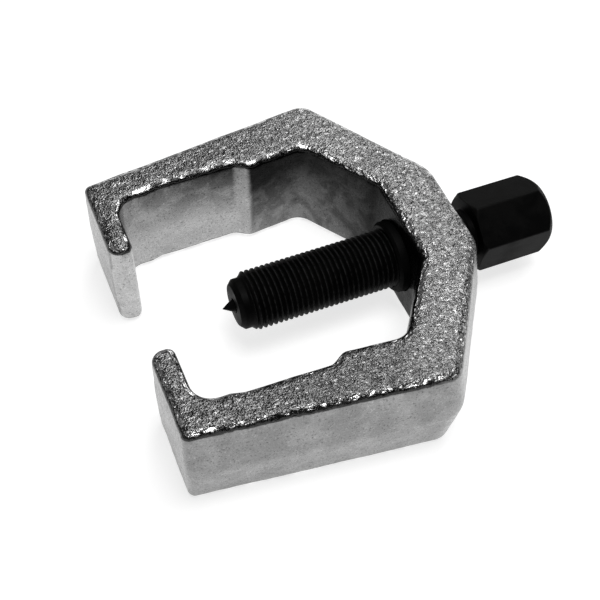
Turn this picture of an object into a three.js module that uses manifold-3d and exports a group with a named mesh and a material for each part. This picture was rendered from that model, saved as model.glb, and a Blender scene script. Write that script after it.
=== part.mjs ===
// Ball joint separator.
//
// A forged C-shaped yoke straddles the joint: its two hooks bear on the arm's boss while a fine-threaded
// forcing screw, driven by its hexagon head, presses a hardened centre point on the end of the ball stud.
// The screw turns in a steel thread bush seated in the yoke's back wall.
//
// Millimetres. The tool lies flat: X runs along the screw with the head at +X, Y runs across the arms,
// +Z is up. The origin is under the middle of the whole tool, on the face that it rests on.

import * as THREE from "three";
import { mergeVertices } from "three/addons/utils/BufferGeometryUtils.js";
import Module from "manifold-3d";

const wasm = await Module();
wasm.setup();

// ---------------------------------------------------------------- sizes

// Yoke, seen from above. Lengths along X start at the hooks' outer face.
const yokeThickness = 29.5;
const mouthWidth = 31;
const hookThickness = 6;
const throatDepth = 66;
const backWall = 15;
const hookOuterWidth = 80.2;
const shoulderOuterWidth = 96.2;
const backFlatWidth = 26.8;
const shoulderSetback = 22.4;

// Inside of the throat: a thin arm next to each hook, a ramp, then a thicker arm up to the back.
const thinArmWidthAtHook = 66.2;
const thinArmWidthAtRamp = 67.3;
const thickArmWidthAtRamp = 62.5;
const thickArmWidthAtBack = 65.7;
const rampStart = 32.7;
const rampLength = 3.8;
const innerSlantSetback = 13.7;
const innerBackWidth = 25.4;
const hookRootLength = 8;
const hookRootRise = 0.8;
const hookRootRamp = 3;

// Forging draft: how far each kind of wall swells out at mid height, where the two dies met.
const outerDraft = 2;
const slantDraft = 2.5;
const hookDraft = 0.3;
const tipDraft = 1;
const innerDraft = 0.4;

// Corner radii seen from above, and the rounding of the upper and lower edges.
const shoulderRadius = 5;
const backRadius = 10;
const hookCornerRadius = 1.8;
const outerTipRadius = 3;
const innerTipRadius = 2;
const hookRootRadius = 5.5;
const innerShoulderRadius = 5;
const innerBackRadius = 4;
const rampRadius = 2.6;
const edgeRounding = 1.4;
const cornerSteps = 4;

// Thread: 5/8 inch, 18 turns to the inch, right-hand.
const threadDiameter = 15.8;
const threadDepth = 0.8;
const threadPitch = 25.4 / 18;
const threadClearance = 0.3;
const threadSteps = 20;
const spareTurns = 2;

// Thread bush, seated against a ledge in the back wall and standing proud inside the throat.
const bushWall = 1.5;
const bushProud = 2.9;
const bushEdge = 0.7;
const ledgeThickness = 4;
const throughHoleClearance = 0.6;
const seatGap = 0.3;

// Forcing screw.
const pointStandoff = 17.2;
const headGap = 6.1;
const headLength = 21.5;
const headAcrossFlats = 19.05;
const headTurnDegrees = 8;
const headOuterChamfer = 2.3;
const headInnerChamfer = 1.2;
const neckLength = 2;
const noseLength = 3.4;
const noseEdge = 1.2;
const noseUndercut = 0.4;
const leadIn = 1;

// Centre point, free to turn in the nose, and the split ring that keeps it there.
const pointBaseDiameter = 3.7;
const pointIncludedAngle = 60;
const pointShankLength = 8;
const pointEdge = 0.4;
const pointFit = 0.3;
const ringWidth = 0.8;
const ringDepthInScrew = 0.4;
const ringDepthInPoint = 0.4;
const ringSetback = 4.5;
const ringSplitDegrees = 40;

// Roundness of the turned pieces.
const turnedSides = 40;
const smallSides = 24;
const cutRun = 5;
const smallestCorner = 0.3;
const weldDistance = 1e-4;

// ---------------------------------------------------------------- worked-out places

const halfThickness = yokeThickness / 2;
const innerBackX = hookThickness + throatDepth;
const backX = innerBackX + backWall;
const shoulderX = backX - shoulderSetback;
const innerSlantX = innerBackX - innerSlantSetback;
const rampStartX = hookThickness + rampStart;
const hookRootEndX = hookThickness + hookRootLength;

const crestRadius = threadDiameter / 2;
const rootRadius = crestRadius - threadDepth;
const bushRadius = crestRadius + threadClearance + bushWall;
const bushStartX = innerBackX - bushProud;
const ledgeX = backX - ledgeThickness;
const bushEndX = ledgeX - seatGap;

const pointTipX = hookThickness + pointStandoff;
const pointRadius = pointBaseDiameter / 2;
const pointLength = pointRadius / Math.tan(THREE.MathUtils.degToRad(pointIncludedAngle / 2));
const noseX = pointTipX + pointLength;
const threadStartX = noseX + noseLength;
const headX = backX + headGap;
const headEndX = headX + headLength;
const threadEndX = headX - neckLength;
const noseRadius = rootRadius - noseUndercut;

// The ring sits in a groove in the nose's bore and in a groove round the point's shank.
const ringX = noseX + ringSetback;
const ringEndX = ringX + ringWidth;
const boreRadius = pointRadius + pointFit;
const boreGrooveRadius = boreRadius + ringDepthInScrew + pointFit;
const shankGrooveRadius = pointRadius - ringDepthInPoint - pointFit;
const shankEndX = noseX + pointShankLength;
const boreEndX = shankEndX + pointFit;
const drillTipX = boreEndX + boreRadius / 2;

// The swelling of the hooks' outer face is the lowest X of the tool, the screw's head is the highest.
const middleX = (headEndX - hookDraft) / 2;

// ---------------------------------------------------------------- helpers

function toSolid(geometry) {
  const bare = geometry.clone();
  bare.deleteAttribute("normal");
  bare.deleteAttribute("uv");
  const merged = mergeVertices(bare, weldDistance);
  const vertProperties = new Float32Array(merged.attributes.position.array);
  const triVerts = new Uint32Array(merged.index.array);
  return new wasm.Manifold(new wasm.Mesh({ numProp: 3, vertProperties, triVerts }));
}

function toGeometry(solid) {
  const mesh = solid.getMesh();
  const geometry = new THREE.BufferGeometry();
  geometry.setAttribute("position", new THREE.BufferAttribute(mesh.vertProperties, 3));
  geometry.setIndex(new THREE.BufferAttribute(mesh.triVerts, 1));
  geometry.computeVertexNormals();
  return geometry;
}

// A solid turned about the X axis. The profile is a list of [x, radius] from one end to the other.
function turned(profile, sides = turnedSides) {
  const points = profile.map(([x, radius]) => new THREE.Vector2(radius, x));
  const geometry = new THREE.LatheGeometry(points, sides);
  geometry.rotateZ(-Math.PI / 2);
  return toSolid(geometry);
}

// Skins a stack of closed rings that have the same number of points and closes both ends flat.
function loft(rings, capTriangles) {
  const count = rings[0].length;
  const positions = rings.flat().flatMap((point) => [point.x, point.y, point.z]);
  const index = [];
  for (let level = 0; level < rings.length - 1; level += 1) {
    for (let i = 0; i < count; i += 1) {
      const a = level * count + i;
      const b = level * count + ((i + 1) % count);
      index.push(a, b, b + count, a, b + count, a + count);
    }
  }
  const top = (rings.length - 1) * count;
  for (const [a, b, c] of capTriangles) {
    index.push(a, c, b);
    index.push(top + a, top + b, top + c);
  }
  const geometry = new THREE.BufferGeometry();
  geometry.setAttribute("position", new THREE.Float32BufferAttribute(positions, 3));
  geometry.setIndex(index);
  return geometry;
}

// A right-hand screw thread about the X axis: a V-shaped ridge swept round and along, with solid ends.
// It runs past toX, because its last ridge fades over whole turns.
function threadSolid(root, crest, fromX, toX) {
  const turns = Math.ceil((toX - fromX) / threadPitch);
  const last = turns * threadSteps;
  const positions = [];
  const rowStart = [];
  const addPoint = (step, share, radius) => {
    const angle = (step / threadSteps) * 2 * Math.PI;
    const x = fromX + (step / threadSteps + share) * threadPitch;
    positions.push(x, radius * Math.cos(angle), radius * Math.sin(angle));
  };
  for (let step = 0; step <= last + threadSteps; step += 1) {
    rowStart.push(positions.length / 3);
    addPoint(step, 0, root);
    addPoint(step, 1 / 2, crest);
  }
  const rootAt = (step) => rowStart[step];
  const crestAt = (step) => rowStart[step] + 1;
  const index = [];
  for (let step = 0; step < last; step += 1) {
    const nextTurn = step + threadSteps;
    index.push(rootAt(step), rootAt(step + 1), crestAt(step + 1));
    index.push(rootAt(step), crestAt(step + 1), crestAt(step));
    index.push(crestAt(step), crestAt(step + 1), rootAt(nextTurn + 1));
    index.push(crestAt(step), rootAt(nextTurn + 1), rootAt(nextTurn));
  }
  const startCentre = positions.length / 3;
  positions.push(fromX - threadPitch, 0, 0);
  const endCentre = startCentre + 1;
  positions.push(fromX + (turns + spareTurns) * threadPitch, 0, 0);
  for (let step = 0; step < threadSteps; step += 1) {
    index.push(startCentre, rootAt(step + 1), rootAt(step));
    index.push(endCentre, rootAt(last + step), rootAt(last + step + 1));
  }
  index.push(startCentre, rootAt(0), crestAt(0));
  index.push(startCentre, crestAt(0), rootAt(threadSteps));
  index.push(endCentre, crestAt(last), rootAt(last));
  index.push(endCentre, rootAt(last + threadSteps), crestAt(last));
  const geometry = new THREE.BufferGeometry();
  geometry.setAttribute("position", new THREE.Float32BufferAttribute(positions, 3));
  geometry.setIndex(index);
  return toSolid(geometry);
}

// ---------------------------------------------------------------- yoke outline

// Corners of the +Y half, from the back round the hook to the inner back wall, counter-clockwise.
// swell is the draft of the wall that follows each corner.
const halfOutline = [
  { x: backX, y: backFlatWidth / 2, radius: backRadius, swell: slantDraft },
  { x: shoulderX, y: shoulderOuterWidth / 2, radius: shoulderRadius, swell: outerDraft },
  { x: 0, y: hookOuterWidth / 2, radius: hookCornerRadius, swell: hookDraft },
  { x: 0, y: mouthWidth / 2, radius: outerTipRadius, swell: tipDraft },
  { x: hookThickness, y: mouthWidth / 2, radius: innerTipRadius, swell: 0 },
  { x: hookThickness, y: thinArmWidthAtHook / 2 - hookRootRise, radius: hookRootRadius, swell: innerDraft },
  { x: hookRootEndX, y: thinArmWidthAtHook / 2 - hookRootRise, radius: rampRadius, swell: innerDraft },
  { x: hookRootEndX + hookRootRamp, y: thinArmWidthAtHook / 2, radius: rampRadius, swell: innerDraft },
  { x: rampStartX, y: thinArmWidthAtRamp / 2, radius: rampRadius, swell: innerDraft },
  { x: rampStartX + rampLength, y: thickArmWidthAtRamp / 2, radius: rampRadius, swell: innerDraft },
  { x: innerSlantX, y: thickArmWidthAtBack / 2, radius: innerShoulderRadius, swell: innerDraft },
  { x: innerBackX, y: innerBackWidth / 2, radius: innerBackRadius, swell: innerDraft },
];

const mirroredHalf = halfOutline
  .map((corner, i) => {
    const wallBefore = i === 0 ? outerDraft : halfOutline[i - 1].swell;
    return { ...corner, y: -corner.y, swell: wallBefore };
  })
  .reverse();

const yokeOutline = [...halfOutline, ...mirroredHalf];

// The straight wall from one corner to the next, moved outwards by a distance.
function movedWall(from, to, distance) {
  const along = new THREE.Vector2(to.x - from.x, to.y - from.y).normalize();
  const outward = new THREE.Vector2(along.y, -along.x);
  const start = new THREE.Vector2(from.x, from.y).addScaledVector(outward, distance);
  return { start, along };
}

function crossing(first, second) {
  const between = second.start.clone().sub(first.start);
  const share = between.cross(second.along) / first.along.cross(second.along);
  return first.start.clone().addScaledVector(first.along, share);
}

// The yoke's outline at one height: every wall swollen by its draft and pulled in by the edge rounding,
// with each corner rounded by an arc.
function outlineAt(height, pulledIn) {
  const swellShare = 1 - Math.abs(height) / halfThickness;
  const corners = yokeOutline;
  const moved = corners.map((corner) => corner.swell * swellShare - pulledIn);
  const nextCorner = (i) => corners[(i + 1) % corners.length];
  const walls = corners.map((corner, i) => movedWall(corner, nextCorner(i), moved[i]));
  return corners.flatMap((corner, i) => {
    const before = (i + corners.length - 1) % corners.length;
    const incoming = walls[before].along;
    const outgoing = walls[i].along;
    const turn = Math.atan2(incoming.cross(outgoing), incoming.dot(outgoing));
    const bend = Math.sign(turn);
    const radius = Math.max(corner.radius + (bend * (moved[before] + moved[i])) / 2, smallestCorner);
    const sharp = crossing(walls[before], walls[i]);
    const toArc = radius * Math.tan(Math.abs(turn) / 2);
    const arcStart = sharp.clone().addScaledVector(incoming, -toArc);
    const towardsCentre = new THREE.Vector2(-incoming.y, incoming.x).multiplyScalar(bend);
    const centre = arcStart.clone().addScaledVector(towardsCentre, radius);
    return Array.from({ length: cornerSteps + 1 }, (_, step) => {
      const point = arcStart.clone().rotateAround(centre, (turn * step) / cornerSteps);
      return new THREE.Vector3(point.x, point.y, height);
    });
  });
}

// ---------------------------------------------------------------- pieces

function makeYoke() {
  const halfRound = edgeRounding * (1 - Math.SQRT1_2);
  const upper = [
    outlineAt(halfThickness - edgeRounding, 0),
    outlineAt(halfThickness - halfRound, halfRound),
    outlineAt(halfThickness, edgeRounding),
  ];
  const lower = upper.map((ring) => ring.map((point) => new THREE.Vector3(point.x, point.y, -point.z)));
  const rings = [...lower.reverse(), outlineAt(0, 0), ...upper];
  const contour = rings[0].map((point) => new THREE.Vector2(point.x, point.y));
  const forging = toSolid(loft(rings, THREE.ShapeUtils.triangulateShape(contour, [])));
  const seatRadius = bushRadius + seatGap;
  const holeRadius = crestRadius + throughHoleClearance;
  const bore = turned([
    [innerBackX - cutRun, 0],
    [innerBackX - cutRun, seatRadius],
    [ledgeX, seatRadius],
    [ledgeX, holeRadius],
    [backX + cutRun, holeRadius],
    [backX + cutRun, 0],
  ]);
  return toGeometry(forging.subtract(bore));
}

function makeThreadBush() {
  const body = turned([
    [bushStartX, 0],
    [bushStartX, bushRadius - bushEdge],
    [bushStartX + bushEdge, bushRadius],
    [bushEndX, bushRadius],
    [bushEndX, 0],
  ]);
  const ridge = rootRadius + threadClearance;
  const groove = crestRadius + threadClearance;
  // The bush's thread is cut in step with the screw's, so it starts a whole number of turns further on.
  const turnsBefore = Math.floor((bushStartX - threadStartX) / threadPitch) - spareTurns;
  const cutterStartX = threadStartX + turnsBefore * threadPitch;
  const cutter = threadSolid(ridge, groove, cutterStartX, bushEndX + threadPitch);
  const frontEntry = turned([
    [bushStartX - cutRun, 0],
    [bushStartX - cutRun, groove + cutRun],
    [bushStartX + groove, 0],
  ]);
  const backEntry = turned([
    [bushEndX - groove, 0],
    [bushEndX + cutRun, groove + cutRun],
    [bushEndX + cutRun, 0],
  ]);
  return toGeometry(body.subtract(cutter).subtract(frontEntry).subtract(backEntry));
}

function makeForcingScrew() {
  const endRadius = crestRadius - leadIn;
  const clearRadius = crestRadius + threadDepth;
  const envelope = turned([
    [threadStartX, 0],
    [threadStartX, endRadius],
    [threadStartX + leadIn, clearRadius],
    [threadEndX - leadIn, clearRadius],
    [threadEndX, endRadius],
    [threadEndX, 0],
  ]);
  const ridge = threadSolid(rootRadius, crestRadius, threadStartX - threadPitch, threadEndX);
  const thread = ridge.intersect(envelope);
  const core = turned([
    [noseX, 0],
    [noseX, noseRadius - noseEdge],
    [noseX + noseEdge, noseRadius],
    [headX + headInnerChamfer, noseRadius],
    [headX + headInnerChamfer, 0],
  ]);
  const bore = turned([
    [noseX - cutRun, 0],
    [noseX - cutRun, boreRadius],
    [ringX - pointFit, boreRadius],
    [ringX - pointFit, boreGrooveRadius],
    [ringEndX + pointFit, boreGrooveRadius],
    [ringEndX + pointFit, boreRadius],
    [boreEndX, boreRadius],
    [drillTipX, 0],
  ], smallSides);
  return toGeometry(thread.add(core).add(makeHead()).subtract(bore));
}

function makeHead() {
  const cornerRadius = headAcrossFlats / Math.sqrt(3);
  const prism = new THREE.CylinderGeometry(cornerRadius, cornerRadius, headLength, 6);
  prism.rotateZ(-Math.PI / 2);
  prism.translate(headX + headLength / 2, 0, 0);
  prism.rotateX(THREE.MathUtils.degToRad(headTurnDegrees));
  const turnedEnds = turned([
    [headX, 0],
    [headX, cornerRadius - headInnerChamfer],
    [headX + headInnerChamfer, cornerRadius],
    [headEndX - headOuterChamfer, cornerRadius],
    [headEndX, cornerRadius - headOuterChamfer],
    [headEndX, 0],
  ]);
  return toSolid(prism).intersect(turnedEnds);
}

function makeCentrePoint() {
  return toGeometry(turned([
    [pointTipX, 0],
    [noseX, pointRadius],
    [ringX - pointFit, pointRadius],
    [ringX - pointFit, shankGrooveRadius],
    [ringEndX + pointFit, shankGrooveRadius],
    [ringEndX + pointFit, pointRadius],
    [shankEndX - pointEdge, pointRadius],
    [shankEndX, pointRadius - pointEdge],
    [shankEndX, 0],
  ], smallSides));
}

function makePointRing() {
  const innerRadius = pointRadius - ringDepthInPoint;
  const outerRadius = pointRadius + pointFit + ringDepthInScrew;
  const halfSplit = THREE.MathUtils.degToRad(ringSplitDegrees / 2);
  const outline = new THREE.Shape();
  outline.absarc(0, 0, outerRadius, halfSplit, 2 * Math.PI - halfSplit, false);
  outline.absarc(0, 0, innerRadius, 2 * Math.PI - halfSplit, halfSplit, true);
  const ring = new THREE.ExtrudeGeometry(outline, {
    depth: ringWidth,
    bevelEnabled: false,
    curveSegments: smallSides,
  });
  ring.rotateY(Math.PI / 2);
  ring.translate(ringX, 0, 0);
  return toGeometry(toSolid(ring));
}

// ---------------------------------------------------------------- finishes and assembly

const platedForging = new THREE.MeshStandardMaterial({ color: 0x9c9d9e, roughness: 0.45, metalness: 0.9 });
const blackBush = new THREE.MeshStandardMaterial({ color: 0x161617, roughness: 0.5, metalness: 0.6 });
const blackScrew = new THREE.MeshStandardMaterial({ color: 0x121213, roughness: 0.42, metalness: 0.6 });
const hardenedPoint = new THREE.MeshStandardMaterial({ color: 0x18181a, roughness: 0.35, metalness: 0.7 });
const springSteel = new THREE.MeshStandardMaterial({ color: 0x55565a, roughness: 0.4, metalness: 0.9 });

function addPiece(parent, name, geometry, material) {
  const mesh = new THREE.Mesh(geometry, material);
  mesh.name = name;
  parent.add(mesh);
}

// The pieces are made about the screw's axis, with X measured from the hooks' outer face.
const separator = new THREE.Group();
separator.position.set(-middleX, 0, halfThickness);

const frame = new THREE.Group();
addPiece(frame, "yoke", makeYoke(), platedForging);
addPiece(frame, "thread_bush", makeThreadBush(), blackBush);

const drive = new THREE.Group();
addPiece(drive, "forcing_screw", makeForcingScrew(), blackScrew);
addPiece(drive, "centre_point", makeCentrePoint(), hardenedPoint);
addPiece(drive, "point_ring", makePointRing(), springSteel);

separator.add(frame, drive);

export default separator;
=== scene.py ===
# %% [markdown]
# # Ball joint separator
# A forged C-shaped yoke, a black threaded bush pressed into its back, and a fine-threaded forcing screw
# with a loose hardened point in its nose. This notebook builds the looks of each piece round the packed
# CAD frame, one piece at a time, and ends with the floor, the light and the camera.

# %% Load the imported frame
import math

import bmesh
import bpy
import numpy as np
from mathutils import Matrix, Vector, noise


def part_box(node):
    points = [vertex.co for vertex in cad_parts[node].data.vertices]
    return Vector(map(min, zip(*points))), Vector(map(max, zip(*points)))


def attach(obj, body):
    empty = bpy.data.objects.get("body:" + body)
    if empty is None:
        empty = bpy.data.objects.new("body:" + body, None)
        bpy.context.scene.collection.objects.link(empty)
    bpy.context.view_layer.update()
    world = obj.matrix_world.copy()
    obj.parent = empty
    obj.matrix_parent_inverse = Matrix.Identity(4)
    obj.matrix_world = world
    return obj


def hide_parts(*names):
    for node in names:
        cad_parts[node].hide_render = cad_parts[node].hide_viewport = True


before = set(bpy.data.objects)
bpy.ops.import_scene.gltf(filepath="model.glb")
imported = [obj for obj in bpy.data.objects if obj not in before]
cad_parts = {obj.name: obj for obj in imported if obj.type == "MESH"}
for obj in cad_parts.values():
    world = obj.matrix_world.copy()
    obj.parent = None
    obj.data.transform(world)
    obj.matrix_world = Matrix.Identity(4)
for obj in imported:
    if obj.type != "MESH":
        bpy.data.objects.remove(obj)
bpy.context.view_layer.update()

# %% [markdown]
# ## Where things are
# Every size below is in millimetres and becomes metres when a mesh is finished. The yoke's box in the CAD
# frame fixes what everything else is measured from: the hooks' outer face, the outer face of the back, and
# the height of the screw's axis, which is half way up the forging. The box is measured at half height, where
# the forging's walls swell out by their draft, so the draft is taken off again.

# %% Places taken from the frame
MM = 0.001
hook_draft, outer_draft = 0.3, 2.0

yoke_low, yoke_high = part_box("yoke")
half_thickness = (yoke_high.z - yoke_low.z) / 2 / MM
axis_height = (yoke_high.z + yoke_low.z) / 2 / MM
hook_face_x = yoke_low.x / MM + hook_draft
back_x = yoke_high.x / MM - outer_draft - hook_face_x
print("half thickness", round(half_thickness, 3), "hooks' face at", round(hook_face_x, 3))
print("outer face of the back", round(back_x, 3), "mm behind the hooks' face")


def span_x(node):
    """Where a CAD node starts and ends along the screw, in millimetres from the hooks' outer face."""
    low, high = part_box(node)
    return low.x / MM - hook_face_x, high.x / MM - hook_face_x


def to_row(mesh):
    """Takes a mesh from millimetres about the screw's axis, X from the hooks' face, to the row frame."""
    mesh.transform(Matrix.Translation((hook_face_x, 0, axis_height)))
    mesh.transform(Matrix.Scale(MM, 4))
    return mesh


# %% [markdown]
# ## Shader nodes in a few words
# Materials and geometry trees are both node trees, so one small helper places a node, sets its options and
# joins its inputs. An input can be given a plain value or another node's output. Short names for the four
# kinds of sum keep the rules below readable.

# %% Node helpers
def place(tree, kind, inputs=None, **options):
    """Adds a node, sets its options, then fills or joins its inputs."""
    node = tree.nodes.new(kind)
    for name, value in options.items():
        setattr(node, name, value)
    for name, value in (inputs or {}).items():
        socket = node.inputs[name]
        if isinstance(value, bpy.types.NodeSocket):
            tree.links.new(value, socket)
        else:
            socket.default_value = value
    return node


def calc(tree, operation, *values):
    """A Math node's output."""
    return place(tree, "ShaderNodeMath", dict(enumerate(values)), operation=operation).outputs[0]


def plus(tree, first, second):
    return calc(tree, "ADD", first, second)


def minus(tree, first, second):
    return calc(tree, "SUBTRACT", first, second)


def times(tree, first, second):
    return calc(tree, "MULTIPLY", first, second)


def over(tree, first, second):
    return calc(tree, "DIVIDE", first, second)


def remap(tree, value, low, high, new_low=0.0, new_high=1.0, smooth=False):
    """Stretches the range from low to high onto a new range, and stops at its ends."""
    sockets = {"Value": value, "From Min": low, "From Max": high, "To Min": new_low, "To Max": new_high}
    kind = "SMOOTHSTEP" if smooth else "LINEAR"
    return place(tree, "ShaderNodeMapRange", sockets, interpolation_type=kind).outputs[0]


FLOAT, WHOLE, YES_NO = "NodeSocketFloat", "NodeSocketInt", "NodeSocketBool"
GEOMETRY, MATERIAL = "NodeSocketGeometry", "NodeSocketMaterial"


def new_group(name, kind, inputs, outputs):
    """A new tree, with what it is given and what it hands back."""
    tree = bpy.data.node_groups.new(name, kind)
    for socket_name, socket_kind, default in inputs:
        socket = tree.interface.new_socket(socket_name, in_out="INPUT", socket_type=socket_kind)
        if default is not None:
            socket.default_value = default
    for socket_name, socket_kind in outputs:
        tree.interface.new_socket(socket_name, in_out="OUTPUT", socket_type=socket_kind)
    return tree, tree.nodes.new("NodeGroupInput").outputs, tree.nodes.new("NodeGroupOutput").inputs


# %% [markdown]
# ## Effects that several finishes share
# A grain is a noise whose cells have a real size in metres, read from Object coordinates so that it stays
# on the piece. Stains are the same idea, larger and softer. Wear follows a number stored at each vertex
# that says how sharply the surface bends outwards there, broken up by a little noise. Each is a node group,
# because several finishes use it with their own numbers.

# %% Noise of a real size
def sized_noise(tree, cell_size, **settings):
    """A noise in Object coordinates whose cells are about cell_size metres wide."""
    coordinates = place(tree, "ShaderNodeTexCoord").outputs["Object"]
    sockets = {"Vector": coordinates, "Scale": over(tree, 1.0, cell_size), **settings}
    return place(tree, "ShaderNodeTexNoise", sockets).outputs["Fac"]


# %% Grain group
grain_group, given, result = new_group(
    "grain", "ShaderNodeTree",
    [("Cell Size", FLOAT, 0.0006), ("Detail", FLOAT, 2.0), ("Low", FLOAT, 0.35), ("High", FLOAT, 0.65)],
    [("Mask", FLOAT), ("Height", FLOAT)],
)
grain_noise = sized_noise(grain_group, given["Cell Size"], Detail=given["Detail"], Roughness=0.6)
grain_mask = remap(grain_group, grain_noise, given["Low"], given["High"])
grain_group.links.new(grain_mask, result["Mask"])
grain_group.links.new(grain_noise, result["Height"])
print("grain group has", len(grain_group.nodes), "nodes")

# %% Stain group
stain_group, given, result = new_group(
    "stains", "ShaderNodeTree",
    [("Patch Size", FLOAT, 0.012), ("Ragged", FLOAT, 0.6), ("Low", FLOAT, 0.4), ("High", FLOAT, 0.62)],
    [("Mask", FLOAT)],
)
stain_noise = sized_noise(
    stain_group, given["Patch Size"], Detail=5.0, Roughness=given["Ragged"], Distortion=0.4)
stain_mask = remap(stain_group, stain_noise, given["Low"], given["High"], smooth=True)
stain_group.links.new(stain_mask, result["Mask"])
print("stain group has", len(stain_group.nodes), "nodes")

# %% Edge wear group
wear_group, given, result = new_group(
    "edge wear", "ShaderNodeTree",
    [("From Bend", FLOAT, 0.1), ("To Bend", FLOAT, 0.35), ("Break-up Size", FLOAT, 0.001)],
    [("Mask", FLOAT)],
)
bend = place(wear_group, "ShaderNodeAttribute", attribute_name="bend").outputs["Fac"]
edge = remap(wear_group, bend, given["From Bend"], given["To Bend"], smooth=True)
wear_noise = sized_noise(wear_group, given["Break-up Size"], Detail=3.0)
broken_edge = times(wear_group, edge, remap(wear_group, wear_noise, 0.35, 0.6))
wear_group.links.new(broken_edge, result["Mask"])
print("wear group has", len(wear_group.nodes), "nodes")

# %% [markdown]
# Every finish starts as a Principled shader and is built by laying one colour over another, so a few more
# helpers cover nearly all of it. The bump helper takes a height in metres: the strength stays at 1 and the
# heights below are the real depths of grain and scratches.

# %% Finish helpers
def effect(tree, group, values):
    return place(tree, "ShaderNodeGroup", values, node_tree=group).outputs


def mix_color(tree, factor, first, second):
    """The first colour where the factor is 0, the second where it is 1."""
    sockets = {0: factor, 6: first, 7: second}
    return place(tree, "ShaderNodeMix", sockets, data_type="RGBA").outputs[2]


def darkened(tree, color, amount):
    """A colour multiplied by a number: 1 leaves it as it is, less darkens it."""
    sockets = {0: 1.0, 6: color, 7: amount}
    return place(tree, "ShaderNodeMix", sockets, data_type="RGBA", blend_type="MULTIPLY").outputs[2]


def add_bump(tree, shader, height):
    bump = place(tree, "ShaderNodeBump", {"Height": height, "Strength": 1.0, "Distance": 1.0})
    tree.links.new(bump.outputs["Normal"], shader.inputs["Normal"])


def new_material(name):
    material = bpy.data.materials.new(name)
    material.use_nodes = True
    tree = material.node_tree
    return material, tree, tree.nodes["Principled BSDF"]


def grey(value, tint=0.0):
    """A grey, slightly warm where the tint is above 0 and slightly cold where it is below."""
    return (value * (1 + tint), value, value * (1 - tint), 1.0)


# %% [markdown]
# ## Plated forging
# The yoke is a drop forging that was blasted and plated. Its upper and lower faces keep a coarse grain from
# the blasting, with painted glints as bright specks on it, while the walls that slid along the dies are
# smoother, with fine specks and soft stains. Two materials would meet in a hard line, so one material covers
# the whole piece, and three numbers kept at each vertex steer it: roll says how flat the place lies, the
# second how much light or shade is painted into the colour there, and the third whether the painted dark line
# of shade along the edges reaches it.

# %% Patterns of the plated forging
plated, tree, shader = new_material("plated_forging")
# the numbers kept at each vertex: flatness, painted light and shade, and where the painted dark edge line
# runs
roll, painted_light, edge_shade = (
    place(tree, "ShaderNodeAttribute", attribute_name=kept).outputs["Fac"]
    for kept in ("roll", "painted_light", "edge_shade")
)
coarse = effect(tree, grain_group, {"Cell Size": 0.001, "Detail": 2.0, "Low": 0.38, "High": 0.62})
fine = effect(tree, grain_group, {"Cell Size": 0.0005, "Detail": 1.0, "Low": 0.3, "High": 0.7})
blobs = effect(tree, grain_group, {"Cell Size": 0.0026, "Detail": 2.0, "Low": 0.46, "High": 0.6})
# pale specks that are painted glints, light caught by the grain's facets
painted_glints = effect(tree, grain_group, {"Cell Size": 0.0014, "Detail": 1.0, "Low": 0.58, "High": 0.68})
wide = effect(tree, stain_group, {"Patch Size": 0.016, "Ragged": 0.55, "Low": 0.38, "High": 0.66})
small = effect(tree, stain_group, {"Patch Size": 0.004, "Ragged": 0.65, "Low": 0.48, "High": 0.7})
blotch = effect(tree, stain_group, {"Patch Size": 0.007, "Ragged": 0.6, "Low": 0.42, "High": 0.6})

# %% [markdown]
# The blasted grain ends unevenly along the rounded edges, so the border between face and wall is shifted to
# and fro by a noise of blobs. Just outside that border a dark line of painted shade runs along the rolled
# edge.
# Just inside it a painted highlight brightens the edge, but only in places, because the blobs' mask breaks it
# up.

# %% Borders of the plated forging
def band(tree, value, rise_from, rise_to, fall_from, fall_to):
    """1 between two soft steps and 0 outside them."""
    rise = remap(tree, value, rise_from, rise_to, smooth=True)
    fall = remap(tree, value, fall_to, fall_from, smooth=True)
    return times(tree, rise, fall)


shift = remap(tree, roll, 0.15, 0.4, 0.0, 0.8)
ragged_roll = plus(tree, roll, times(tree, minus(tree, blobs["Height"], 0.5), shift))
flat_face = remap(tree, ragged_roll, 0.4, 0.6, smooth=True)
# painted shade: a dark line along the rolled edges, just outside the face's border
painted_edge_shade = times(tree, band(tree, ragged_roll, 0.2, 0.38, 0.7, 0.9), edge_shade)
# painted highlight: bright spots just inside the face's border
painted_edge_highlight = times(tree, band(tree, roll, 0.72, 0.84, 0.93, 0.985), blobs["Mask"])

# %% [markdown]
# The walls start from two close greys, then take small stains, dark pits and pale specks. The painted light
# and shade come last. Where the painted shade is deep, the stain patches that break it up get stronger.

# %% Colour of the walls
wall_grey, wide_stain_grey, small_stain_grey, pit_grey, speck_grey = 0.40, 0.35, 0.28, 0.17, 0.5
small_stain_strength = 0.5
# levels of the painted light and shade between which the stain patches' strength changes
deep_shade_tone, faint_shade_tone = 0.2, 0.8

wall_color = mix_color(tree, wide["Mask"], grey(wall_grey), grey(wide_stain_grey))
stained = times(tree, small["Mask"], small_stain_strength)
wall_color = mix_color(tree, stained, wall_color, grey(small_stain_grey))
wall_color = mix_color(tree, remap(tree, fine["Height"], 0.60, 0.74), wall_color, grey(pit_grey))
wall_color = mix_color(tree, remap(tree, fine["Height"], 0.40, 0.26), wall_color, grey(speck_grey))

# stain patches, made stronger where the painted shade is deep; the wall colour then carries both
patches = plus(tree, small["Mask"], blotch["Mask"])
darkest_patch = remap(tree, painted_light, deep_shade_tone, faint_shade_tone, 0.6, 0.85)
palest_patch = remap(tree, painted_light, deep_shade_tone, faint_shade_tone, 2.0, 1.2)
patchy_tone = times(tree, painted_light, remap(tree, patches, 0.0, 2.0, darkest_patch, palest_patch))
wall_tone = calc(tree, "MINIMUM", patchy_tone, calc(tree, "MAXIMUM", painted_light, 1.0))
wall_color = darkened(tree, wall_color, wall_tone)

# %% Colour of the blasted faces
hollow_grey, grain_grey, face_stain_grey, glint_grey = 0.19, 0.44, 0.16, 0.7
face_stain_strength = 0.3

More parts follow.
